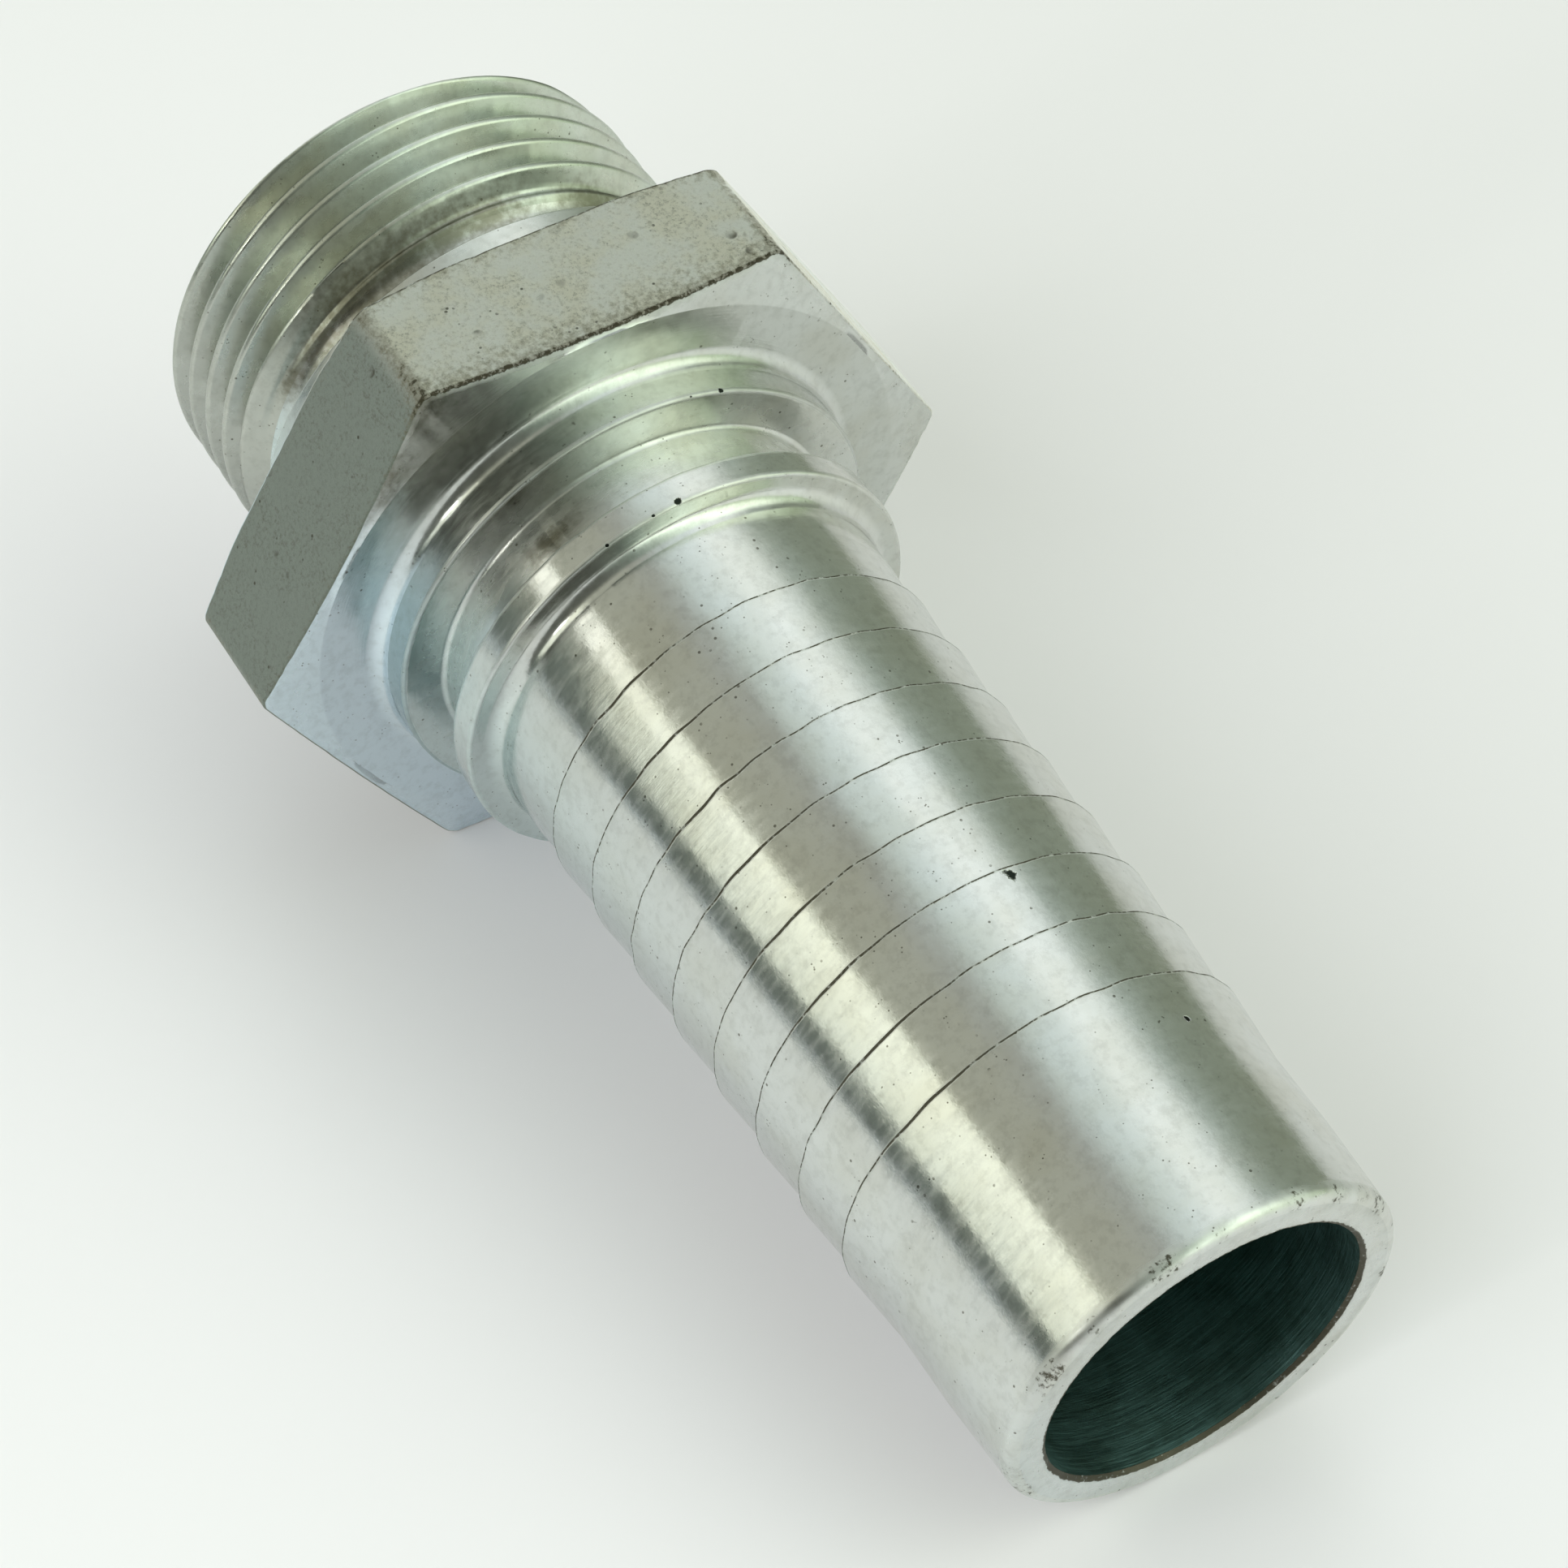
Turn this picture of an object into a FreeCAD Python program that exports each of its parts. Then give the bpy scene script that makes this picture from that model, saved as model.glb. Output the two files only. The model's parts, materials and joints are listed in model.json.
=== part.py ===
import FreeCAD, Part
import math
import os

# Crimp hydraulic hose fitting, turned from hexagon bar, in millimetres.
# A barbed tail for a 25 mm hose, a collar and groove that lock a crimped sleeve,
# a 41 mm wrench hexagon and a one inch parallel pipe thread with a 60 degree cone seat.
# Stations run along the fitting from the tail's front face to the thread's end face.

# Passage through the fitting
bore_d = 20.2
bore_mouth_break = 0.2
seat_angle = 60.0

# Plain nose of the hose tail
tail_wall = 2.65
nose_length = 6.15
nose_draft = 0.22
nose_break = 0.6
plain_length = 4.95

# Barbs that grip the hose
barb_count = 8
barb_pitch = 4.6
barb_height = 0.43

# Smooth land between the barbs and the collar
land_height = 0.32
land_length = 3.4

# Locking collar and the groove that takes the crimped sleeve
collar_height = 1.93
collar_width = 2.07
groove_depth = 1.85
groove_width = 4.3

# Boss in front of the hexagon
boss_height = 2.85
boss_length = 2.93
root_round = 1.0
edge_break = 0.18

# Wrench hexagon
hex_across_flats = 41.0
hex_thickness = 9.07
hex_corner_break = 0.17
hex_front_angle = 9.0
hex_front_margin = 0.5
hex_back_angle = 15.0
hex_back_margin = 0.7

# Threaded end, one inch parallel pipe thread with its relief groove
thread_d = 33.249
thread_length = 10.4
thread_end_chamfer = 1.2
spigot_length = 4.8
relief_length = 1.9
relief_depth = 2.0
relief_flank = 2.0
seat_rim = 1.4

# A rounding takes at most this share of the shorter line beside it
rounding_share = 0.9

# How far cutting tools run past the ends of the metal
run_past = 1.0

# Radii that follow from the sizes above
bore_r = bore_d / 2
tail_r = bore_r + tail_wall
nose_r = tail_r - nose_draft
barb_r = tail_r + barb_height
land_r = tail_r + land_height
collar_r = land_r + collar_height
groove_r = collar_r - groove_depth
boss_r = groove_r + boss_height
flat_r = hex_across_flats / 2
hex_corner_r = flat_r / math.cos(math.radians(30)) - hex_corner_break
hex_front_r = flat_r - hex_front_margin
hex_back_r = flat_r + hex_back_margin
thread_r = thread_d / 2
relief_r = thread_r - relief_depth
thread_end_r = thread_r - thread_end_chamfer
seat_mouth_r = thread_end_r - seat_rim

# Stations that follow from the sizes above
barbs_start = nose_length + plain_length
barbs_end = barbs_start + barb_count * barb_pitch
land_start = barbs_end + land_height * barb_pitch / barb_height
collar_start = land_start + land_length
groove_start = collar_start + collar_width
groove_end = groove_start + groove_width
hex_start = groove_end + boss_length
hex_end = hex_start + hex_thickness
relief_start = hex_end + spigot_length
relief_end = relief_start + relief_length
thread_start = relief_end + relief_flank
total_length = thread_start + thread_length
hex_front_rise = (hex_corner_r - hex_front_r) * math.tan(math.radians(hex_front_angle))
hex_back_drop = (hex_corner_r - hex_back_r) * math.tan(math.radians(hex_back_angle))
seat_depth = (seat_mouth_r - bore_r) / math.tan(math.radians(seat_angle / 2))


def tail_corners():
    """Nose, plain stretch, saw-tooth barbs and land, up to the collar's front face."""
    corners = [
        (0, nose_r - nose_break, 0),
        (nose_break, nose_r, 0),
        (nose_length, tail_r, 0),
        (barbs_start, tail_r, 0),
    ]
    for index in range(barb_count):
        crest = barbs_start + (index + 1) * barb_pitch
        corners.append((crest, barb_r, 0))
        corners.append((crest, tail_r, 0))
    corners.append((land_start, land_r, 0))
    corners.append((collar_start, land_r, root_round))
    return corners


def collar_corners():
    """Locking collar, crimp groove and boss, up to the hexagon's front face."""
    return [
        (collar_start, collar_r - edge_break, 0),
        (collar_start + edge_break, collar_r, 0),
        (groove_start - edge_break, collar_r, 0),
        (groove_start, collar_r - edge_break, 0),
        (groove_start, groove_r, 0),
        (groove_end, groove_r, 0),
        (groove_end, boss_r - edge_break, 0),
        (groove_end + edge_break, boss_r, 0),
        (hex_start, boss_r, root_round),
    ]


def hexagon_corners():
    """The turned ends of the hexagon: a flat face and a shallow cone on each side."""
    return [
        (hex_start, hex_front_r, 0),
        (hex_start + hex_front_rise, hex_corner_r, 0),
        (hex_end - hex_back_drop, hex_corner_r, 0),
        (hex_end, hex_back_r, 0),
    ]


def thread_corners():
    """Spigot, relief groove and the thread's outer cylinder with its end chamfer."""
    return [
        (hex_end, thread_r, 0),
        (relief_start - edge_break, thread_r, 0),
        (relief_start, thread_r - edge_break, 0),
        (relief_start, relief_r, 0),
        (relief_end, relief_r, 0),
        (thread_start, thread_r, 0),
        (total_length - thread_end_chamfer, thread_r, 0),
        (total_length, thread_end_r, 0),
    ]


def point(station, radius):
    """A point of the half section, in the plane through the axis."""
    return FreeCAD.Vector(station, 0, radius)


def tangent_arc(before, corner, after, rounding):
    """The arc that rounds a corner, as its start, middle and end points."""
    back = before - corner
    onward = after - corner
    half_angle = back.getAngle(onward) / 2
    reach = rounding / math.tan(half_angle)
    reach = min(reach, rounding_share * back.Length, rounding_share * onward.Length)
    radius = reach * math.tan(half_angle)
    back.normalize()
    onward.normalize()
    inward = back + onward
    inward.normalize()
    middle = corner + inward * (radius / math.sin(half_angle) - radius)
    return corner + back * reach, middle, corner + onward * reach


def revolved(corners):
    """Solid of revolution under a line of corners, from axis to axis."""
    first = point(corners[0][0], 0)
    last = point(corners[-1][0], 0)
    points = [first] + [point(station, radius) for station, radius, _ in corners] + [last]
    edges = []
    pen = first
    for index, (_, _, rounding) in enumerate(corners, start=1):
        if rounding > 0:
            start, middle, end = tangent_arc(
                points[index - 1], points[index], points[index + 1], rounding
            )
            edges.append(Part.LineSegment(pen, start).toShape())
            edges.append(Part.Arc(start, middle, end).toShape())
            pen = end
        else:
            edges.append(Part.LineSegment(pen, points[index]).toShape())
            pen = points[index]
    edges.append(Part.LineSegment(pen, last).toShape())
    edges.append(Part.LineSegment(last, first).toShape())
    face = Part.Face(Part.Wire(edges))
    return face.revolve(FreeCAD.Vector(0, 0, 0), FreeCAD.Vector(1, 0, 0), 360)


def hexagon_bar():
    """The bar that the fitting is turned from, with one flat facing straight down."""
    circumradius = flat_r / math.cos(math.radians(30))
    corners = []
    for index in range(6):
        angle = math.radians(30 + 60 * index)
        across = circumradius * math.sin(angle)
        up = circumradius * math.cos(angle)
        corners.append(FreeCAD.Vector(-run_past, across, up))
    section = Part.Face(Part.makePolygon(corners + corners[:1]))
    return section.extrude(FreeCAD.Vector(total_length + 2 * run_past, 0, 0))


def passage():
    """The bore, the break at its tail mouth and the cone seat at the thread's end."""
    along = FreeCAD.Vector(1, 0, 0)
    slope = math.tan(math.radians(seat_angle / 2))
    bore = Part.makeCylinder(
        bore_r, total_length + 2 * run_past, FreeCAD.Vector(-run_past, 0, 0), along
    )
    mouth = Part.makeCone(
        bore_r + bore_mouth_break + run_past,
        bore_r,
        bore_mouth_break + run_past,
        FreeCAD.Vector(-run_past, 0, 0),
        along,
    )
    seat = Part.makeCone(
        bore_r,
        seat_mouth_r + run_past * slope,
        seat_depth + run_past,
        FreeCAD.Vector(total_length - seat_depth, 0, 0),
        along,
    )
    return bore.fuse([mouth, seat])


def resting_tilt():
    """Angle of the axis when the fitting lies on the nose's rim and a flat of the hexagon."""
    edge_station = hex_start + hex_front_margin * math.tan(math.radians(hex_front_angle))
    return math.atan2(flat_r - nose_r, edge_station - nose_break)


# Turn the blank, cut the hexagon and the passage
blank = revolved(tail_corners() + collar_corners() + hexagon_corners() + thread_corners())
fitting = blank.common(hexagon_bar()).cut(passage())

# Lay the fitting down as it comes to rest, thread end towards +X, on the plane z = 0
fitting.rotate(FreeCAD.Vector(0, 0, 0), FreeCAD.Vector(0, 1, 0), -math.degrees(resting_tilt()))
box = fitting.optimalBoundingBox(False)
fitting.translate(FreeCAD.Vector(-(box.XMin + box.XMax) / 2, -(box.YMin + box.YMax) / 2, -box.ZMin))

os.makedirs("parts", exist_ok=True)
fitting.exportStep("parts/hose_insert.step")
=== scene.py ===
import json
import math

import bmesh
import bpy
import numpy as np
from mathutils import Matrix, Vector


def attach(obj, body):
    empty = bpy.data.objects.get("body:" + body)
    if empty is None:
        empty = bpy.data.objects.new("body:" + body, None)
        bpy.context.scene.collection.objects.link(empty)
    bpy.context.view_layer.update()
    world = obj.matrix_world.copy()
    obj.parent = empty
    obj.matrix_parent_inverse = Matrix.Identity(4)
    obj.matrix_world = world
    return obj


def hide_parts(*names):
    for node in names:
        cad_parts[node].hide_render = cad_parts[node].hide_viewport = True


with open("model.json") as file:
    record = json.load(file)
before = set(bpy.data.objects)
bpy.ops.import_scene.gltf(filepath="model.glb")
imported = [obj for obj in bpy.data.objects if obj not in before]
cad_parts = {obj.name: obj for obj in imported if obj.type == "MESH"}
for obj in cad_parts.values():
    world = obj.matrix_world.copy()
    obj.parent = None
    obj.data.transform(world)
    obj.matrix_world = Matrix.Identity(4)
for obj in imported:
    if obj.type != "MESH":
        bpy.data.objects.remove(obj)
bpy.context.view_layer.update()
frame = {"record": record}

# A crimp hydraulic hose fitting of zinc plated steel, turned from hexagon bar.
# Its skin is laid out in the fitting's own measures: station along the axis from the tail's
# end face and radius from the axis, in millimetres, and turn around the axis in degrees,
# from the upper flat of the hexagon towards +Y.
MM = 0.001
mounts = {mount["name"]: mount for mount in frame["record"]["mounts"]}

# Radii and lengths that the frame's record gives
bore_r = mounts["bore"]["dims"]["r_mm"]
tail_r = mounts["hose_tail"]["dims"]["r_mm"]
plain_length = mounts["hose_tail"]["dims"]["length_mm"]
groove_r = mounts["crimp_groove"]["dims"]["r_mm"]
groove_width = mounts["crimp_groove"]["dims"]["length_mm"]
thread_r = mounts["thread"]["dims"]["r_mm"]

# Nose and barbs of the hose tail
nose_length = 6.15
nose_draft = 0.22
nose_break = 0.6
nose_round = 0.72
mouth_break = 0.2
mouth_waver = 0.045
mouth_width = 0.35
mouth_dirt_reach = 0.7
bore_front = 4.0
bore_back = 60.0
barb_count = 8
barb_pitch = 4.6
barb_height = 0.43
barb_edge_round = 0.05
barb_undercut = 0.02
barb_foot_step = 0.12
barb_fade = 0.1
barb_edge_waver = 0.04
barb_height_waver = 0.012
cream_turn = 40
cream_spread = 12

# Land, locking collar and boss
land_height = 0.32
land_length = 3.4
collar_r = 15.0
collar_width = 2.07
boss_r = 16.0
boss_length = 2.93
root_round = 1.0
groove_foot_round = 0.4
edge_round = 0.2
foot_round = 0.1
worn_width = 0.35
collar_waver = 0.02
boss_waver = 0.015

# Wrench hexagon
flat_r = 20.5
hex_thickness = 9.07
hex_corner_r = 23.5
hex_corner_blend = 0.03
hex_front_angle = 9.0
hex_front_r = 20.0
hex_back_angle = 15.0
hex_back_r = 21.2
hex_edge_round = 0.14
hex_edge_waver = 0.05
hex_front_round = 0.3
hex_front_rim = 0.6
hex_front_wear = 0.25
hex_front_fade = 2.2
hex_back_rim = 0.3
hex_back_wear = 0.2
hex_back_fade = 1.6
hex_corner_wear = 0.1
# Turn and blend of the hexagon's upper side, where its edges take dirt and painted shade
soil_and_shade_turn = 34
soil_and_shade_blend = 3

# Spigot, relief groove and one inch parallel pipe thread
spigot_length = 4.8
relief_length = 1.9
relief_depth = 2.0
relief_flank = 2.0
relief_foot_round = 0.35
relief_round = 1.6
thread_length = 10.4
thread_end_chamfer = 1.2
thread_pitch = 25.4 / 11
thread_depth = 0.640327 * thread_pitch
thread_round = 0.137329 * thread_pitch
thread_half_angle = math.radians(27.5)
thread_start_crest = 82.044
thread_fade = 0.3
bend_angles = 0, 21, 42
flank_rows = 11
end_edge_break = 0.15
seat_angle = 60.0
seat_rim = 1.4
seat_edge_round = 0.08

# Stations that follow from the sizes above
barbs_start = nose_length + plain_length
barbs_end = barbs_start + barb_count * barb_pitch
land_start = barbs_end + land_height * barb_pitch / barb_height
collar_start = land_start + land_length
groove_start = collar_start + collar_width
groove_end = groove_start + groove_width
hex_start = groove_end + boss_length
hex_end = hex_start + hex_thickness
relief_start = hex_end + spigot_length
relief_end = relief_start + relief_length
thread_start = relief_end + relief_flank
total_length = thread_start + thread_length
chamfer_start = total_length - thread_end_chamfer
thread_end_r = thread_r - thread_end_chamfer
relief_r = thread_r - relief_depth
seat_mouth_r = thread_end_r - seat_rim
seat_start = total_length - (seat_mouth_r - bore_r) / math.tan(math.radians(seat_angle / 2))

# The fitting's own directions, and the middle of its front face, in the frame
along = Vector(mounts["thread"]["axis"])
up = Vector(mounts["wrench_flats"]["axis"])
across = up.cross(along)
tail_middle = Vector(mounts["hose_tail"]["pos_m"])
front_middle = tail_middle - along * (nose_length + plain_length / 2) * MM

# The brightest radiance that the surroundings can hold
sky_strength = 2.0

# Steps between two corners of the hexagon, and how much closer they stand near the corners
sector_steps = 24
crowding = 0.86

# A rounding takes at most this share of the shorter line beside it, and more steps when wide
rounding_share = 0.9
wide_rounding = 0.5
wide_steps = 8
narrow_steps = 4

# Units of the skin's layout for one millimetre along it
layout_scale = 0.01

# How near the skin's points are to be sewn together, in metres
sewing_reach = 2e-6

# Finishes, by their place among the skin's materials
TURNED, FACED, BOSS, BAR, THREAD, BORE = range(6)


def sweep():
    """Turns around the axis, closest together at the hexagon's corners."""
    share = np.arange(sector_steps) / sector_steps
    spread = 30 * ((1 - crowding) * share + crowding * share ** 2)
    sector = np.concatenate([spread, 60 - np.append(spread[1:], 30)[::-1]])
    turns = np.concatenate([30 + 60 * index + sector for index in range(6)])
    return np.append(turns, turns[0] + 360)


TURNS = sweep()
RADIANS = np.radians(TURNS)
FROM_TOP = (TURNS + 180) % 360 - 180


def waver(seed, size, waves=(3, 40)):
    """A small seeded unevenness around the axis that closes on itself.

    waves is the range that the nine counts of waves are drawn from."""
    chance = np.random.default_rng(seed)
    total = np.zeros_like(TURNS)
    counts = chance.integers(waves[0], waves[1], 9)
    for count in counts:
        total += np.sin(count * RADIANS + chance.uniform(0, 2 * math.pi))
    return size * total / 3


def hexagon_radius():
    """Radius of the hexagon's outline, with its corners turned down."""
    from_flat = np.radians((TURNS + 30) % 60 - 30)
    outline = flat_r / np.cos(from_flat)
    gap = (outline - hex_corner_r) / hex_corner_blend
    return outline - hex_corner_blend * np.logaddexp(0, gap)


def thread_drop(distance):
    """How far the Whitworth form lies under its crest, at a distance along from the crest."""
    half = thread_pitch / 2
    reach = thread_round * math.cos(thread_half_angle)
    drop = thread_round * (1 - math.sin(thread_half_angle))
    crest = thread_round - np.sqrt(thread_round ** 2 - np.minimum(distance, reach) ** 2)
    to_root = np.minimum(half - distance, reach)
    root = thread_depth - thread_round + np.sqrt(thread_round ** 2 - to_root ** 2)
    flank = drop + (distance - reach) / math.tan(thread_half_angle)
    return np.where(distance < reach, crest, np.where(distance > half - reach, root, flank))


def thread_surface(station):
    """Radius of the right-hand thread at a station, all the way around."""
    phase = (station - thread_start_crest) / thread_pitch + TURNS / 360
    distance = np.abs(phase - np.round(phase)) * thread_pitch
    return thread_r - thread_drop(distance)


def row(station, radius, wear=0.0, finish=TURNED):
    """A row of points around the axis, with its edge wear and painted shade, and the finish that
    follows it.

    Station, radius and wear may be one number or one for each turn."""
    plain = np.zeros_like(TURNS)
    return plain + station, plain + radius, wear, finish


def fitted(station, radius):
    """Points of one row in the frame, in metres."""
    centre = np.outer(station, along)
    outward = np.outer(np.cos(RADIANS), up) + np.outer(np.sin(RADIANS), across)
    return np.array(front_middle) + MM * (centre + radius[:, None] * outward)


def skin_mesh(name, strips):
    """Joins strips of rows into one mesh whose material slots are the finishes."""
    points, faces, finishes, edges, layout = [], [], [], [], []
    columns = len(TURNS)
    for rows in strips:
        first = len(points) * columns
        length = 0.0
        for index, (station, radius, wear, finish) in enumerate(rows):
            points.append(fitted(station, radius))
            edges.append(np.broadcast_to(wear, TURNS.shape))
            if index:
                before = rows[index - 1]
                length += math.hypot(station[0] - before[0][0], radius[0] - before[1][0])
            layout.append(length)
            if index + 1 < len(rows):
                start = first + index * columns + np.arange(columns - 1)
                quads = np.stack([start, start + 1, start + columns + 1, start + columns], 1)
                faces.append(quads)
                finishes.append(np.full(columns - 1, finish))
    faces = np.concatenate(faces)
    corners = faces.ravel()
    mesh = bpy.data.meshes.new(name)
    mesh.from_pydata(np.concatenate(points).tolist(), [], faces.tolist())
    mesh.polygons.foreach_set("material_index", np.concatenate(finishes).astype(np.int32))
    lay = np.stack([np.array(layout)[corners // columns], RADIANS[corners % columns]], 1)
    mesh.uv_layers.new(name="Turning").data.foreach_set("uv", lay.ravel() * layout_scale)
    # Layer of edge wear and painted shade, read by the finishes
    wear_and_shade_layer = mesh.attributes.new("edge_wear", "FLOAT", "POINT")
    wear_and_shade_layer.data.foreach_set("value", np.concatenate(edges).astype(np.float32))
    return mesh


def rounded(corners):
    """Rows along a line of corners (station, radius, rounding, wear and painted shade, finish),
    rounded by arcs.
    """
    lines = [row(station, radius, wear, finish) for station, radius, _, wear, finish in corners]
    rows = []
    for index, (station, radius, wear, finish) in enumerate(lines):
        rounding = corners[index][2]
        if not rounding:
            rows.append((station, radius, wear, finish))
            continue
        here = np.stack([station, radius], 1)
        back = np.stack(lines[index - 1][:2], 1) - here
        onward = np.stack(lines[index + 1][:2], 1) - here
        back_length = np.linalg.norm(back, axis=1)[:, None]
        onward_length = np.linalg.norm(onward, axis=1)[:, None]
        back = back / back_length
        onward = onward / onward_length
        half = np.arccos(np.clip((back * onward).sum(1), -1, 1))[:, None] / 2
        shorter = np.minimum(back_length, onward_length)
        reach = np.minimum(rounding / np.tan(half), rounding_share * shorter)
        radius_here = reach * np.tan(half)
        middle = back + onward
        middle = middle / np.linalg.norm(middle, axis=1)[:, None]
        centre = here + middle * radius_here / np.sin(half)
        sweep_half = math.pi / 2 - half
        steps = wide_steps if rounding > wide_rounding else narrow_steps
        sideways = onward - back
        sideways = sideways / np.linalg.norm(sideways, axis=1)[:, None]
        for share in np.linspace(-1, 1, steps + 1):
            angle = sweep_half * share
            spot = centre + radius_here * (np.sin(angle) * sideways - np.cos(angle) * middle)
            rows.append((spot[:, 0], spot[:, 1], wear, finish))
    return rows


def tail_corners():
    """Bore, ragged mouth, nose, barbs and land."""
    ragged = np.abs(waver(11, mouth_waver, (8, 60)))
    # Painted shade: the barbs' dark lines at crest and foot are heavier and wider where the cream
    # panel's reflection lies
    cream_band = np.exp(-((FROM_TOP - cream_turn) / cream_spread) ** 2)
    edge_soil_and_shade = 0.9 + 0.1 * cream_band
    dark_line_breadth = 0.1 + 0.08 * cream_band
    slope = barb_height / barb_pitch
    nose_slope = nose_draft / (nose_length - nose_break)
    nose_clean = nose_round + worn_width
    nose_dirt = 0.55 + 0.25 * np.tanh(waver(12, 1.5, (3, 30)))
    corners = [
        (seat_start, bore_r, 0, 0, BORE),
        (bore_back, bore_r, 0, 0, BORE),
        (bore_front, bore_r, 0, 0, BORE),
        (mouth_dirt_reach, bore_r, 0, 0, BORE),
        (mouth_break + 0.5 * ragged, bore_r + 0.3 * ragged, 0.05, 1, FACED),
        (0, bore_r + mouth_break + ragged, 0.05, 1, FACED),
        (0, bore_r + mouth_break + mouth_width, 0, 0, FACED),
        (0, tail_r - nose_slope * nose_length, nose_round, nose_dirt, TURNED),
        (nose_clean, tail_r - nose_slope * (nose_length - nose_clean), 0, 0, TURNED),
        (nose_length, tail_r, 0, 0, TURNED),
        (barbs_start, tail_r, 0, 0, TURNED),
    ]
    for index in range(barb_count):
        crest = barbs_start + (index + 1) * barb_pitch + waver(100 + index, barb_edge_waver)
        height = tail_r + barb_height + waver(200 + index, barb_height_waver)
        clean = dark_line_breadth + barb_fade
        corners += [
            (crest - clean, height - slope * clean, 0, 0, TURNED),
            (crest - dark_line_breadth, height - slope * dark_line_breadth, 0, edge_soil_and_shade, TURNED),
            (crest, height, barb_edge_round, edge_soil_and_shade, TURNED),
            (crest + barb_undercut, tail_r, 0, 1, TURNED),
            (crest + barb_foot_step, tail_r + slope * barb_foot_step, 0, 0.6, TURNED),
            (crest + worn_width, tail_r + slope * worn_width, 0, 0, TURNED),
        ]
    corners += [
        (land_start, tail_r + land_height, 0, 0, TURNED),
        (collar_start, tail_r + land_height, root_round, 0, TURNED),
    ]
    return corners


def collar_corners():
    """Locking collar, crimp groove and boss."""
    front = collar_start + waver(31, collar_waver)
    return [
        (front, collar_r - worn_width, 0, 0, TURNED),
        (front, collar_r + waver(32, collar_waver), edge_round, 0.5, TURNED),
        (front + worn_width, collar_r, 0, 0, TURNED),
        (groove_start - worn_width, collar_r, 0, 0, TURNED),
        (groove_start + waver(33, collar_waver), collar_r, edge_round, 0.5, TURNED),
        (groove_start, groove_r, foot_round, 0.6, TURNED),
        (groove_start + worn_width, groove_r, 0, 0, TURNED),
        (groove_end, groove_r, groove_foot_round, 0.3, TURNED),
        (groove_end, boss_r - worn_width, 0, 0, TURNED),
        (groove_end, boss_r + waver(34, boss_waver), edge_round, 0.5, BOSS),
        (groove_end + worn_width, boss_r, 0, 0, BOSS),
        (hex_start, boss_r, root_round, 0, FACED),
    ]


def hexagon_corners():
    """Front face, flats and back face of the hexagon."""
    outline = hexagon_radius()
    front_slope = math.tan(math.radians(hex_front_angle))
    back_slope = math.tan(math.radians(hex_back_angle))
    corner = np.exp(-((outline.max() - outline) / hex_corner_wear) ** 2)
    # Dirt and painted shade along the hexagon's edges, heavier on the upper side
    edge_soil_and_shade = 0.5 + 0.5 * np.tanh((soil_and_shade_turn - np.abs(FROM_TOP)) / soil_and_shade_blend)
    front = hex_start + front_slope * (outline - hex_front_r)
    front = front + np.abs(waver(41, hex_edge_waver, (20, 90)))
    back = hex_end - back_slope * np.maximum(outline - hex_back_r, 0)
    back = back - np.abs(waver(42, hex_edge_waver, (20, 90)))
    inner = np.minimum(outline - hex_back_rim, hex_back_r)
    return [
        (hex_start, hex_front_r, hex_front_round, 0, FACED),
        (front - hex_front_rim * front_slope, outline - hex_front_rim, 0, 0.1, FACED),
        (front, outline, hex_edge_round, 0.4 + 0.56 * edge_soil_and_shade, BAR),
        (front + hex_front_wear, outline, 0, 0.2 + 0.4 * edge_soil_and_shade + 0.3 * corner, BAR),
        (front + hex_front_fade, outline, 0, 0.3 * edge_soil_and_shade + 0.45 * corner, BAR),
        (back - hex_back_fade, outline, 0, 0.1 * edge_soil_and_shade + 0.45 * corner, BAR),
        (back - hex_back_wear, outline, 0, 0.3 + 0.2 * edge_soil_and_shade + 0.3 * corner, BAR),
        (back, outline, hex_edge_round, 0.5 + 0.4 * edge_soil_and_shade, FACED),
        (hex_end - back_slope * np.maximum(inner - hex_back_r, 0), inner, 0, 0, FACED),
        (hex_end, thread_r, foot_round, 0.3, TURNED),
        (relief_start, thread_r, edge_round, 0.3, TURNED),
        (relief_start, relief_r, relief_foot_round, 0.3, TURNED),
        (relief_end, relief_r, relief_round, 0.3, TURNED),
    ]


def thread_runout():
    """Rows of the relief's flank, where the first turn of the thread runs out."""
    slope = math.atan2(relief_depth, relief_flank)
    rounded_share = relief_round * math.tan(slope / 2) * math.cos(slope) / relief_flank
    rows = []
    for share in np.linspace(rounded_share, 1, flank_rows):
        station = relief_end + share * relief_flank
        flank = relief_r + share * relief_depth
        form = thread_surface(station) + thread_fade * (1 - share)
        rows.append(row(station, np.minimum(flank, form), 0.2, THREAD))
    return rows


def thread_rows():
    """Rows that follow the thread's helix, held between its first and last station."""
    half = thread_pitch / 2
    reach = thread_round * math.cos(thread_half_angle)
    bends = [thread_round * math.sin(math.radians(angle)) for angle in bend_angles] + [reach]
    rising = bends + [half - bend for bend in reversed(bends)]
    offsets = rising + [thread_pitch - offset for offset in reversed(rising[1:-1])]
    first = math.floor((thread_start - thread_start_crest) / thread_pitch)
    last = math.ceil((chamfer_start - thread_start_crest) / thread_pitch) + 1
    rows = []
    for pitch_index in range(first, last + 1):
        for offset in offsets:
            helix = thread_start_crest + (pitch_index + 1 - TURNS / 360) * thread_pitch + offset
            station = np.clip(helix, thread_start, chamfer_start)
            rows.append(row(station, thread_surface(station), 0.1, THREAD))
    return rows


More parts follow.
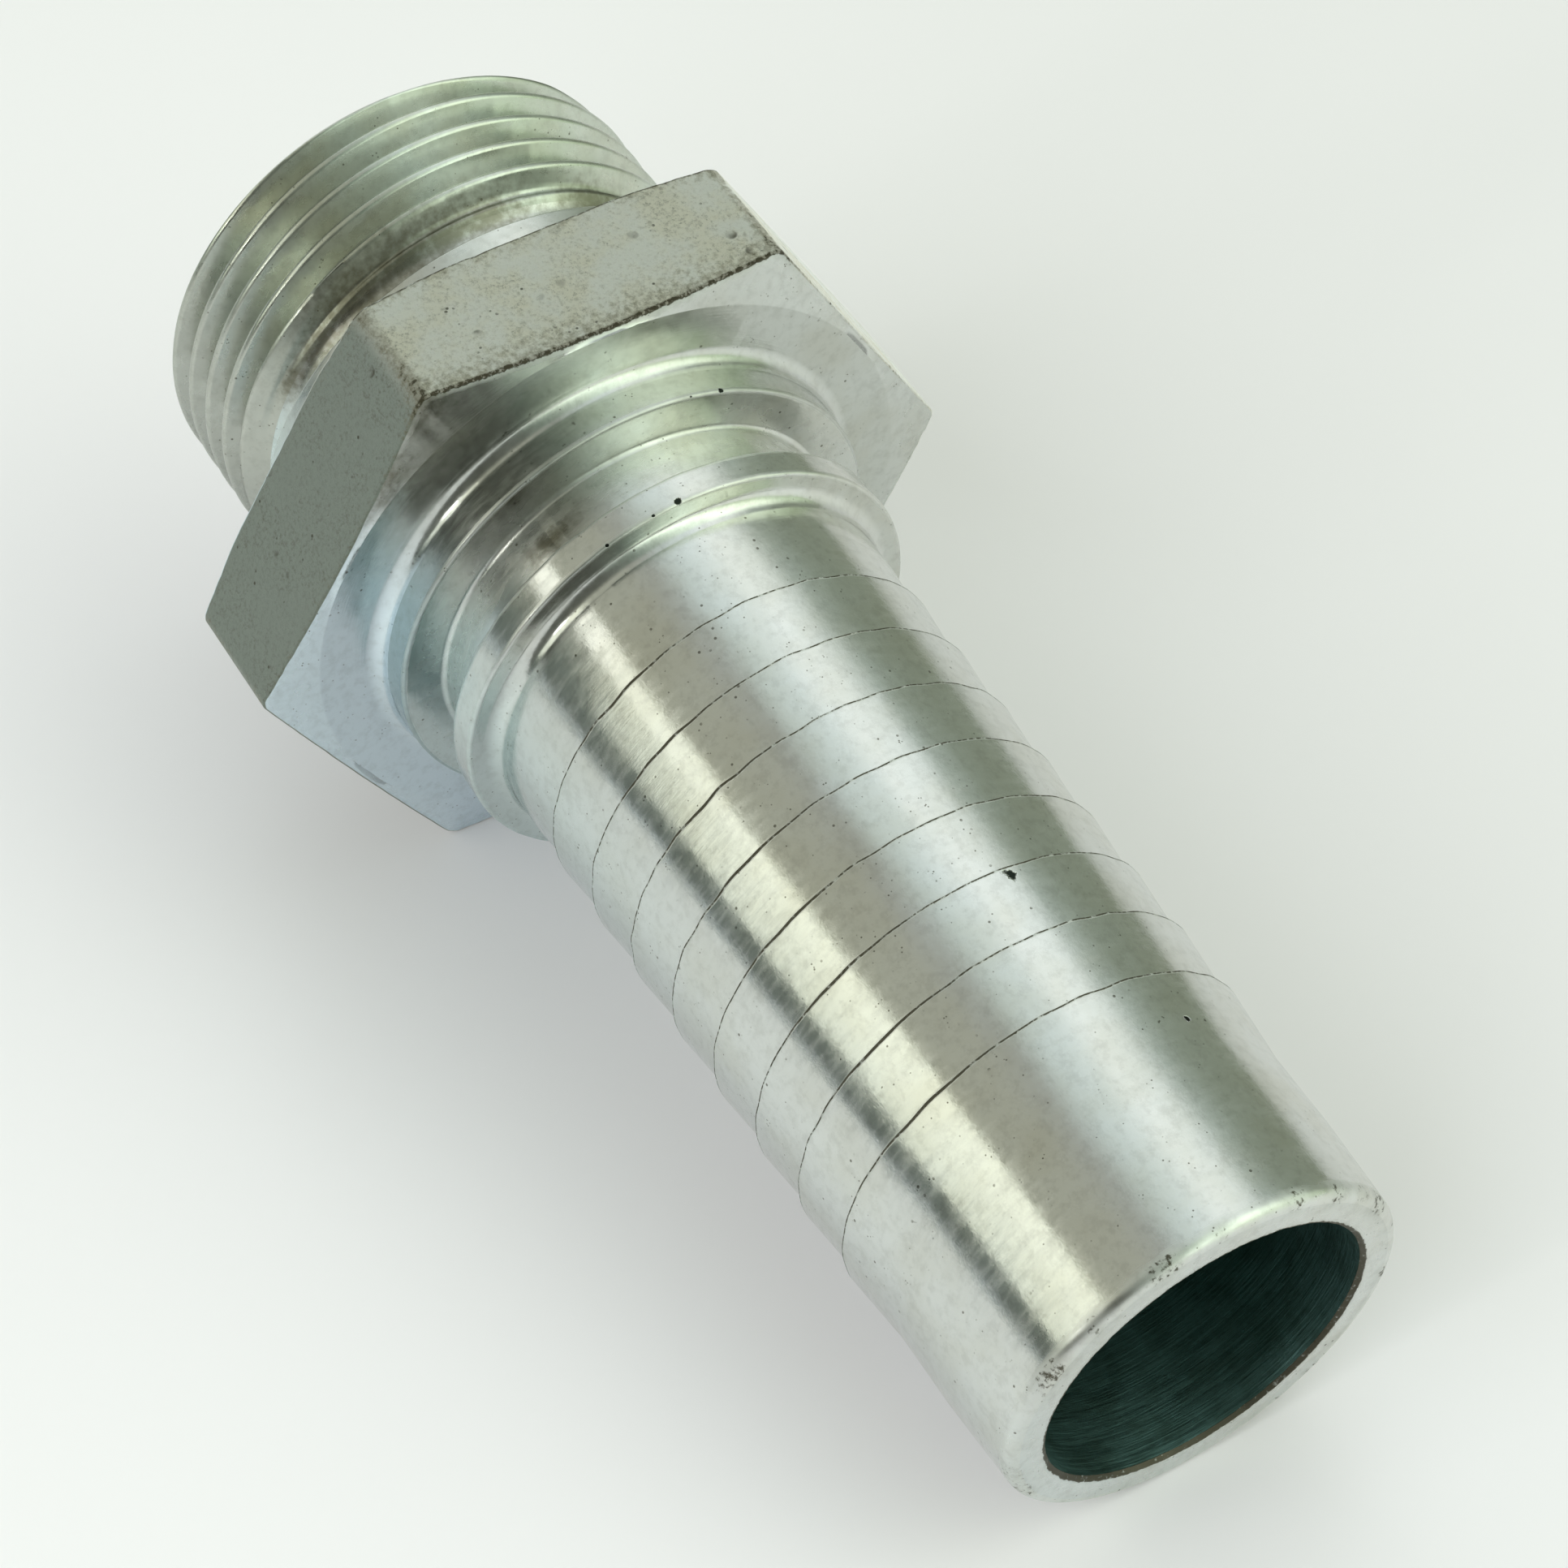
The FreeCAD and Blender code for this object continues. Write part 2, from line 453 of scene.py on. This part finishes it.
def end_rows():
    """Rows of the end chamfer, the end face and the cone seat."""
    rows = []
    for share in np.linspace(0, 1, flank_rows):
        station = chamfer_start + share * thread_end_chamfer
        chamfer = thread_r - share * thread_end_chamfer
        rows.append(row(station, np.minimum(chamfer, thread_surface(station)), 0.2, THREAD))
    rim = np.minimum(thread_end_r, thread_surface(total_length)) - end_edge_break
    return rows + rounded([
        (total_length, rim, 0, 0, FACED),
        (total_length, seat_mouth_r, seat_edge_round, 0.2, FACED),
        (seat_start, bore_r, 0, 0, BORE),
    ])


def build_skin():
    """The whole skin as one closed mesh object."""
    onward = [(thread_start, thread_r, 0, 0.2, THREAD)]
    front = rounded(tail_corners() + collar_corners() + hexagon_corners() + onward)
    mesh = skin_mesh("fitting_skin", [front[:-1] + thread_runout(), thread_rows(), end_rows()])
    sewn = bmesh.new()
    sewn.from_mesh(mesh)
    bmesh.ops.remove_doubles(sewn, verts=sewn.verts, dist=sewing_reach)
    bmesh.ops.dissolve_degenerate(sewn, edges=sewn.edges, dist=sewing_reach / 2)
    bmesh.ops.recalc_face_normals(sewn, faces=sewn.faces)
    for face in sewn.faces:
        face.smooth = True
    sewn.to_mesh(mesh)
    sewn.free()
    piece = bpy.data.objects.new("fitting_skin", mesh)
    bpy.context.scene.collection.objects.link(piece)
    weighted = piece.modifiers.new("even_normals", "WEIGHTED_NORMAL")
    weighted.keep_sharp = False
    weighted.weight = 100
    return piece


class Finish:
    """One procedural finish, built node by node."""

    def __init__(self, name):
        self.material = bpy.data.materials.new(name)
        self.material.use_nodes = True
        self.tree = self.material.node_tree
        self.shader = self.tree.nodes["Principled BSDF"]
        self.place = self.fitting_place()

    def feed(self, socket, value):
        """Links a socket's value, or sets it where it is a plain number or colour."""
        if isinstance(value, bpy.types.NodeSocket):
            self.tree.links.new(value, socket)
        else:
            socket.default_value = value

    def node(self, kind, values, **settings):
        """Adds a node with its settings and the values of its numbered or named inputs."""
        made = self.tree.nodes.new(kind)
        for name, value in settings.items():
            setattr(made, name, value)
        for key, value in values.items():
            self.feed(made.inputs[key], value)
        return made

    def fitting_place(self):
        """Coordinates in millimetres: along the axis, across it and up from it."""
        turn = Matrix((along, across, up))
        shift = -(turn @ front_middle) / MM
        source = self.tree.nodes.new("ShaderNodeTexCoord")
        mapping = self.tree.nodes.new("ShaderNodeMapping")
        mapping.inputs["Location"].default_value = shift
        mapping.inputs["Rotation"].default_value = turn.to_euler()
        mapping.inputs["Scale"].default_value = (1 / MM, 1 / MM, 1 / MM)
        self.tree.links.new(source.outputs["Object"], mapping.inputs["Vector"])
        return mapping.outputs["Vector"]

    def calc(self, operation, first, second=0.0):
        """One step of arithmetic."""
        made = self.node("ShaderNodeMath", {0: first, 1: second}, operation=operation)
        return made.outputs[0]

    def noise(self, scale, stretch=(1, 1, 1), detail=3.0, rough=0.55):
        """Noise over the fitting, stretched by direction, as a value around a half."""
        spread = self.node(
            "ShaderNodeVectorMath", {0: self.place, 1: stretch}, operation="MULTIPLY"
        )
        made = self.node(
            "ShaderNodeTexNoise",
            {"Vector": spread.outputs[0], "Scale": scale, "Detail": detail, "Roughness": rough},
        )
        return made.outputs["Fac"]

    def between(self, value, low, high, to_low=0.0, to_high=1.0):
        """Maps a value's range smoothly onto another one, and holds it there."""
        made = self.node(
            "ShaderNodeMapRange",
            {
                "Value": value,
                "From Min": low,
                "From Max": high,
                "To Min": to_low,
                "To Max": to_high,
            },
            interpolation_type="SMOOTHSTEP",
        )
        return made.outputs["Result"]

    def blend(self, share, first, second):
        """A colour between two colours."""
        made = self.tree.nodes.new("ShaderNodeMix")
        made.data_type = "RGBA"
        self.feed(made.inputs[0], share)
        self.feed(made.inputs[6], first)
        self.feed(made.inputs[7], second)
        return made.outputs[2]

    def marks(self, rate):
        """Fine lines around the axis, as a cutting tool leaves them, as a value around a half."""
        spread = self.node(
            "ShaderNodeCombineXYZ",
            {
                0: self.calc("MULTIPLY", self.part("X"), rate),
                1: self.calc("MULTIPLY", self.length(self.place, (0, 1, 1)), rate),
                2: self.calc("MULTIPLY", self.part("Y"), 0.25),
            },
        )
        made = self.node(
            "ShaderNodeTexNoise",
            {"Vector": spread.outputs[0], "Scale": 1.0, "Detail": 3.0, "Roughness": 0.6},
        )
        return made.outputs["Fac"]

    def wear(self):
        """The edge wear and painted shade that the skin's points hold."""
        made = self.tree.nodes.new("ShaderNodeAttribute")
        made.attribute_name = "edge_wear"
        return made.outputs["Fac"]

    def bump(self, height, depth, below=None):
        """A bump whose height of one stands depth millimetres over the surface."""
        values = {"Height": height, "Distance": depth * MM, "Strength": 1.0}
        if below is not None:
            values["Normal"] = below
        return self.node("ShaderNodeBump", values).outputs["Normal"]

    def part(self, letter):
        """One coordinate: X along the axis, Y across it, Z up from it."""
        return self.node("ShaderNodeSeparateXYZ", {0: self.place}).outputs[letter]

    def length(self, vector, stretch):
        """The length of a vector, stretched by direction."""
        values = {0: vector, 1: stretch}
        stretched = self.node("ShaderNodeVectorMath", values, operation="MULTIPLY")
        values = {0: stretched.outputs[0]}
        return self.node("ShaderNodeVectorMath", values, operation="LENGTH").outputs["Value"]

    def towards(self, direction):
        """How far a point lies in a direction from the tail's front middle."""
        values = {0: self.place, 1: direction}
        return self.node("ShaderNodeVectorMath", values, operation="DOT_PRODUCT").outputs["Value"]

    def shade(self, values):
        """Feeds the shader's inputs by name."""
        for name, value in values.items():
            self.feed(self.shader.inputs[name], value)

    def any_spot(self, spots, soft, narrow=1.0):
        """One inside any of these spots, whose edges are soft over a share of their size.

        A spot is its station, radius, turn and size. narrow says how many times shorter it is
        along the axis."""
        most = 0.0
        ragged = self.noise(2.0)
        for station, radius, turn, size in spots:
            angle = math.radians(turn)
            centre = (station, radius * math.sin(angle), radius * math.cos(angle))
            values = {0: self.place, 1: centre}
            away = self.node("ShaderNodeVectorMath", values, operation="SUBTRACT").outputs[0]
            uneven = self.calc("MULTIPLY", ragged, size)
            reach = self.calc("SUBTRACT", self.length(away, (narrow, 1, 1)), uneven)
            mask = self.between(reach, size * soft / 2, -size * soft / 2)
            most = self.calc("MAXIMUM", most, mask)
        return most

    def specks(self, scale, size, soft=0.05):
        """Specks scattered in patches, one where a speck is, sized by a share of their spacing."""
        made = self.node(
            "ShaderNodeTexVoronoi", {"Vector": self.place, "Scale": scale, "Randomness": 1.0}
        )
        rare = self.between(self.noise(scale * 0.35, detail=2.0), 0.58, 0.66)
        near = self.between(made.outputs["Distance"], size, size - soft)
        return self.calc("MULTIPLY", near, rare)


def rgba(red, green, side_reflection_tint):
    """An opaque colour."""
    return red, green, side_reflection_tint, 1.0


# Colours of the plating: cool, warm, and a painted reflection tint on the lower side towards +Y
ZINC = rgba(0.70, 0.715, 0.695), rgba(0.65, 0.655, 0.61), rgba(0.56, 0.66, 0.66)
ZINC_FACED = rgba(0.65, 0.67, 0.65), rgba(0.60, 0.61, 0.57), rgba(0.68, 0.80, 0.88)
ZINC_BOSS = rgba(0.58, 0.60, 0.58), rgba(0.54, 0.55, 0.51), rgba(0.40, 0.51, 0.53)
ZINC_GREEN = rgba(0.62, 0.66, 0.60), rgba(0.57, 0.59, 0.51), rgba(0.48, 0.50, 0.46)
BAR_ZINC = rgba(1.0, 1.0, 0.98)
BAR_WARM = rgba(0.96, 0.93, 0.84)
# Painted shade for the hexagon's flats towards +Y
BAR_SHADED_SIDE = rgba(0.33, 0.37, 0.33)
BAR_DARK = rgba(0.14, 0.13, 0.085)
# Grime, also used as painted shade for the dark lines at the barbs and along the hexagon's edges
GRIME_AND_SHADE = rgba(0.075, 0.065, 0.04)
SOOT = rgba(0.02, 0.025, 0.02)
STAIN = rgba(0.25, 0.22, 0.14)
OLIVE = rgba(0.18, 0.17, 0.12)


def plated(finish, cool, warm, side_reflection_tint):
    """Colour of zinc plating: cloudy, tinted, with a painted reflection on its lower side towards
    +Y, mottled and specked.
    """
    cloud = finish.noise(0.22, detail=4.0)
    colour = finish.blend(finish.between(cloud, 0.35, 0.7), cool, warm)
    # Painted reflection: the lower side towards +Y, nearer the hexagon, takes the side tint, as
    # the floor's light shows in the metal there
    sideways = finish.between(finish.towards((0.0, 1.0, -0.6)), 4.5, 13.0)
    near_hexagon = finish.between(finish.part("X"), 25.0, 60.0, 0.2, 0.8)
    colour = finish.blend(finish.calc("MULTIPLY", sideways, near_hexagon), colour, side_reflection_tint)
    mottle = finish.noise(1.4, detail=6.0, rough=0.68)
    colour = finish.blend(finish.between(mottle, 0.44, 0.68, 0.0, 0.13), colour, GRIME_AND_SHADE)
    speck = finish.calc("MAXIMUM", finish.specks(1.5, 0.16), finish.specks(3.4, 0.2))
    return finish.blend(finish.calc("MULTIPLY", speck, 0.75), colour, GRIME_AND_SHADE)


def turned_finish(name, colours, rough, mark_depth, anisotropy, pits=(), stains_and_shade=()):
    """Zinc plating over turning marks that run around the axis."""
    finish = Finish(name)
    wear = finish.wear()
    colour = plated(finish, *colours)
    # Olive spots: real stains, and painted shade in the relief and crimp grooves and a painted
    # dark reflection on the hexagon's front face
    stain_and_shade = finish.any_spot(stains_and_shade, soft=0.9, narrow=2.6)
    colour = finish.blend(finish.calc("MULTIPLY", stain_and_shade, 0.85), colour, OLIVE)
    grit = finish.noise(3.0, detail=4.0, rough=0.65)
    # Grime where edge wear and grit add up: real dirt, and painted shade at the barbs' crests and
    # feet
    grime_and_shade_share = finish.between(finish.calc("ADD", wear, grit), 1.24, 1.42, 0.0, 0.93)
    colour = finish.blend(grime_and_shade_share, colour, GRIME_AND_SHADE)
    pitted = finish.any_spot(pits, soft=0.17)
    colour = finish.blend(pitted, colour, SOOT)
    height = finish.calc("MULTIPLY", finish.marks(7.0), mark_depth)
    for scale, depth in ((2.2, 0.005), (0.8, 0.005)):
        swell = finish.noise(scale, detail=4.0, rough=0.65)
        height = finish.calc("ADD", height, finish.calc("MULTIPLY", swell, depth))
    height = finish.calc("SUBTRACT", height, finish.calc("MULTIPLY", pitted, 0.05))
    patches = finish.noise(0.9, (2.5, 0.6, 0.6))
    shine = finish.between(patches, 0.3, 0.75, rough - 0.05, rough + 0.07)
    shine = finish.calc("ADD", shine, finish.calc("MULTIPLY", wear, 0.4))
    tangent = finish.node("ShaderNodeTangent", {}, direction_type="UV_MAP", uv_map="Turning")
    finish.shade({
        "Base Color": colour,
        "Metallic": 1.0,
        "Roughness": shine,
        "Anisotropic": anisotropy,
        "Tangent": tangent.outputs[0],
        "Normal": finish.bump(height, 1.0),
    })
    return finish.material


def bar_finish():
    """Drawn bar under zinc: matte, pitted, with dirt and painted shade along its edges and painted
    shade on the flats towards +Y.
    """
    finish = Finish("zinc_drawn_bar")
    grain = finish.noise(3.4, detail=5.0, rough=0.85)
    cloud = finish.noise(0.3, detail=3.0)
    colour = finish.blend(finish.between(cloud, 0.35, 0.65), BAR_ZINC, BAR_WARM)
    # Painted shade: the flats towards +Y are darker
    colour = finish.blend(finish.between(finish.part("Y"), 11.0, 12.6), colour, BAR_SHADED_SIDE)
    flecks = finish.between(cloud, 0.35, 0.65, 0.2, 0.6)
    flecks = finish.calc("MULTIPLY", flecks, finish.between(grain, 0.47, 0.68))
    colour = finish.blend(flecks, colour, BAR_DARK)
    speck = finish.calc("MAXIMUM", finish.specks(0.7, 0.3, 0.1), finish.specks(1.9, 0.24, 0.1))
    colour = finish.blend(finish.calc("MULTIPLY", speck, 0.85), colour, GRIME_AND_SHADE)
    grit = finish.noise(2.4, detail=4.0, rough=0.7)
    uneven = finish.calc("MULTIPLY", finish.calc("SUBTRACT", grit, 0.5), 1.6)
    ragged = finish.calc("ADD", finish.wear(), uneven)
    stain = finish.between(ragged, 0.3, 0.9, 0.0, 0.65)
    colour = finish.blend(stain, colour, STAIN)
    # Dark line along the hexagon's edges: dirt and painted shade
    line = finish.between(ragged, 0.8, 1.0, 0.0, 0.92)
    colour = finish.blend(line, colour, GRIME_AND_SHADE)
    height = finish.calc("MULTIPLY", grain, 0.3)
    height = finish.calc("SUBTRACT", height, finish.calc("MULTIPLY", speck, 0.08))
    finish.shade({
        "Base Color": colour,
        "Metallic": 1.0,
        "Roughness": finish.between(grain, 0.3, 0.7, 0.33, 0.45),
        "Normal": finish.bump(height, 1.0),
    })
    return finish.material


def bore_finish():
    """The bore, drilled, its plating darkened to teal as painted shade of the deep hole."""
    finish = Finish("zinc_dark_bore")
    lines = finish.noise(1.0, (6.0, 0.3, 0.3), detail=4.0, rough=0.6)
    cloud = finish.noise(0.5, detail=3.0)
    # Painted shade: dark teal stands in for the shade inside the bore
    colour = finish.blend(
        finish.between(cloud, 0.35, 0.7), rgba(0.17, 0.30, 0.29), rgba(0.12, 0.21, 0.19)
    )
    finish.shade({
        "Base Color": colour,
        "Metallic": 1.0,
        "Roughness": finish.between(lines, 0.3, 0.7, 0.4, 0.55),
        "Normal": finish.bump(lines, 0.03),
    })
    return finish.material


def floor_finish():
    """Pale studio floor."""
    finish = Finish("studio_floor")
    cloud = finish.noise(0.02, detail=2.0)
    colour = finish.blend(cloud, rgba(0.85, 0.815, 0.83), rgba(0.87, 0.835, 0.85))
    finish.shade({"Base Color": colour, "Roughness": 0.35})
    return finish.material


def studio_floor():
    """A plain floor under the fitting."""
    reach = 2.5
    mesh = bpy.data.meshes.new("studio_floor")
    shape = bmesh.new()
    bmesh.ops.create_grid(shape, x_segments=4, y_segments=4, size=reach)
    shape.to_mesh(mesh)
    shape.free()
    floor = bpy.data.objects.new("studio_floor", mesh)
    bpy.context.scene.collection.objects.link(floor)
    mesh.materials.append(floor_finish())


def panel(name, facing, run, place, size, colour, radiance):
    """A soft rectangle of light that faces the fitting, with its length along run.

    place is its distance and its shift along run, and size its length and width, in metres."""
    facing = facing.normalized()
    side = facing.cross(run).normalized()
    run = side.cross(facing)
    light = bpy.data.lights.new(name, "AREA")
    light.shape = "RECTANGLE"
    light.size, light.size_y = size
    light.energy = 4 * light.size * light.size_y * radiance
    light.color = colour
    lamp = bpy.data.objects.new(name, light)
    bpy.context.scene.collection.objects.link(lamp)
    lamp.matrix_world = Matrix((run, side, facing)).transposed().to_4x4()
    middle = Vector(mounts["bore"]["pos_m"])
    lamp.location = middle + facing * place[0] + run * place[1]
    lamp.visible_camera = False


def around(turn):
    """The direction that stands at a turn around the fitting's axis."""
    angle = math.radians(turn)
    return up * math.cos(angle) + across * math.sin(angle)


def floor_light(name, turned, lift, colour, radiance):
    """A soft square of light that brightens the floor and stays out of the metal's reflections.

    turned is its bearing from the tail's front towards +Y, and lift its height, in degrees."""
    bearing = math.radians(turned)
    height = math.radians(lift)
    level = Vector((-math.cos(bearing), math.sin(bearing), 0.0))
    facing = level * math.cos(height) + Vector((0.0, 0.0, math.sin(height)))
    panel(name, facing, level.cross(facing), (0.9, 0.0), (0.8, 0.8), colour, radiance)
    bpy.data.objects[name].visible_glossy = False


def studio_lights():
    """Three panels that the metal mirrors, and two lights for the floor."""
    panel("cream_panel", around(62), along, (0.6, 0.105), (0.31, 0.34), (0.97, 1.0, 0.85), 0.72)
    panel("cream_strip", around(52), along, (0.6, 0.53), (0.54, 0.126), (1.0, 1.0, 0.92), 0.76)
    panel("glint_panel", around(61), along, (0.6, -0.08), (0.05, 0.06), (1.0, 1.0, 0.96), 14.0)
    floor_light("key_panel", 70, 35, (0.88, 0.95, 1.0), 2.1)
    floor_light("fill_panel", -60, 40, (1.0, 0.99, 0.94), 0.38)


def sky_ramp(tree, share, stops):
    """A colour for each turn around the axis. A stop is its turn in degrees and its radiance."""
    ramp = tree.nodes.new("ShaderNodeValToRGB")
    tree.links.new(share, ramp.inputs[0])
    places = ramp.color_ramp.elements
    while len(places) < len(stops):
        places.new(0.5)
    for place, (angle, radiance) in zip(places, stops):
        place.position = 0.5 + angle / 360
        place.color = rgba(*(part / sky_strength for part in radiance))
    return ramp.outputs["Color"]


def studio_sky():
    """Soft surroundings that change with the turn around the fitting's axis."""
    world = bpy.data.worlds.new("studio_sky")
    bpy.context.scene.world = world
    world.use_nodes = True
    tree = world.node_tree
    source = tree.nodes.new("ShaderNodeTexCoord")
    parts = []
    for direction in (along, across, up):
        part = tree.nodes.new("ShaderNodeVectorMath")
        part.operation = "DOT_PRODUCT"
        tree.links.new(source.outputs["Generated"], part.inputs[0])
        part.inputs[1].default_value = direction
        parts.append(part.outputs["Value"])
    turn = tree.nodes.new("ShaderNodeMath")
    turn.operation = "ARCTAN2"
    tree.links.new(parts[1], turn.inputs[0])
    tree.links.new(parts[2], turn.inputs[1])
    share = tree.nodes.new("ShaderNodeMapRange")
    share.inputs["From Min"].default_value = -math.pi
    share.inputs["From Max"].default_value = math.pi
    tree.links.new(turn.outputs[0], share.inputs["Value"])
    thread_side = sky_ramp(tree, share.outputs["Result"], [
        (-98, (0.30, 0.34, 0.26)),
        (-74, (0.27, 0.31, 0.24)),
        (-62, (0.30, 0.35, 0.28)),
        (-50, (0.45, 0.52, 0.46)),
        (-38, (1.04, 1.12, 1.08)),
        (-26, (1.17, 1.24, 1.20)),
        (-14, (0.90, 1.00, 0.98)),
        (-2, (0.71, 0.80, 0.77)),
        (9, (0.44, 0.46, 0.42)),
        (22, (0.46, 0.47, 0.39)),
        (50, (0.44, 0.45, 0.36)),
        (76, (0.17, 0.20, 0.175)),
        (89, (0.16, 0.185, 0.165)),
        (92, (0.56, 0.62, 0.62)),
    ])
    tail_side = sky_ramp(tree, share.outputs["Result"], [
        (-98, (0.42, 0.50, 0.34)),
        (-74, (0.80, 0.96, 0.70)),
        (-62, (1.30, 1.46, 1.15)),
        (-38, (1.74, 1.98, 1.68)),
        (-26, (1.42, 1.62, 1.36)),
        (-14, (0.98, 1.15, 0.95)),
        (-2, (0.56, 0.66, 0.56)),
        (10, (0.25, 0.31, 0.26)),
        (24, (0.15, 0.16, 0.135)),
        (46, (0.11, 0.115, 0.095)),
        (95, (0.16, 0.17, 0.15)),
    ])
    meeting = tree.nodes.new("ShaderNodeMapRange")
    meeting.interpolation_type = "SMOOTHSTEP"
    meeting.inputs["From Min"].default_value = -0.45
    meeting.inputs["From Max"].default_value = 0.1
    tree.links.new(parts[0], meeting.inputs["Value"])
    mixed = tree.nodes.new("ShaderNodeMix")
    mixed.data_type = "RGBA"
    tree.links.new(meeting.outputs["Result"], mixed.inputs[0])
    tree.links.new(tail_side, mixed.inputs[6])
    tree.links.new(thread_side, mixed.inputs[7])
    background = tree.nodes["Background"]
    tree.links.new(mixed.outputs[2], background.inputs["Color"])
    background.inputs["Strength"].default_value = sky_strength


def photo_camera():
    """The camera, turned as in the photograph and aimed at the middle of the fitting."""
    aim = Vector((-0.00263, 0.0, 0.01838))
    distance = 0.24586
    bearing, tilt, roll = math.radians(-118.413), math.radians(43.675), math.radians(-3.511)
    turned = (
        Matrix.Rotation(bearing, 4, "Z")
        @ Matrix.Rotation(tilt, 4, "X")
        @ Matrix.Rotation(roll, 4, "Z")
    )
    data = bpy.data.cameras.new("photo_camera")
    data.lens = 96.403
    data.sensor_width = 36.0
    data.clip_start = 0.01
    camera = bpy.data.objects.new("photo_camera", data)
    bpy.context.scene.collection.objects.link(camera)
    camera.matrix_world = turned
    camera.location = aim + turned.to_3x3() @ Vector((0, 0, distance))
    bpy.context.scene.camera = camera


# Pits in the plating: station, radius, turn and size
tail_pits = [
    (24.4, tail_r, -10.1, 0.9),
    (46.5, tail_r, -11.2, 0.5),
    (46.0, tail_r, -6.6, 0.3),
    (45.3, tail_r, -4.2, 0.25),
    (43.1, tail_r, -9.6, 0.25),
    (29.2, tail_r, 2.9, 0.3),
    (12.5, tail_r, -27.6, 0.4),
    (32.5, tail_r, 82.4, 0.4),
    (24.7, tail_r, 89.4, 0.35),
    (54.9, collar_r, 2.7, 0.45),
    (54.8, collar_r, 9.2, 0.2),
    (54.8, collar_r, 21.3, 0.25),
]
boss_pits = [
    (61.2, boss_r, -21.3, 0.3),
    (61.1, boss_r, -13.7, 0.2),
]

# Olive spots: stains and painted shade in the grooves, and a painted dark reflection at a corner
# of the hexagon: station, radius, turn and size
groove_stains_and_shade = [
    (58.9, groove_r, 32.0, 3.2),
    (80.4, relief_r, 58.0, 2.8),
    (80.2, relief_r, 46.0, 4.6),
    (80.4, relief_r, 34.0, 6.6),
    (80.4, relief_r, 20.0, 6.6),
    (80.4, relief_r, 8.0, 6.6),
    (80.4, relief_r, -3.0, 5.6),
    (80.4, relief_r, -32.0, 4.6),
]
# Painted dark reflection on the hexagon's front face at its upper corner towards +Y
painted_corner_reflection = [
    (64.2, 22.8, 45.0, 4.6),
    (64.2, 24.0, 31.0, 3.4),
]

fitting = build_skin()
for finish in (
    turned_finish("zinc_turned", ZINC, 0.18, 0.003, 0.4, tail_pits, groove_stains_and_shade),
    turned_finish("zinc_faced", ZINC_FACED, 0.2, 0.004, 0.5, (), painted_corner_reflection),
    turned_finish("zinc_boss", ZINC_BOSS, 0.2, 0.004, 0.5, boss_pits),
    bar_finish(),
    turned_finish("zinc_thread", ZINC_GREEN, 0.25, 0.002, 0.2, (), groove_stains_and_shade),
    bore_finish(),
):
    fitting.data.materials.append(finish)
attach(fitting, "root")
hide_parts("hose_insert")

studio_floor()
studio_sky()
studio_lights()
photo_camera()
bpy.context.scene.view_settings.view_transform = "Standard"
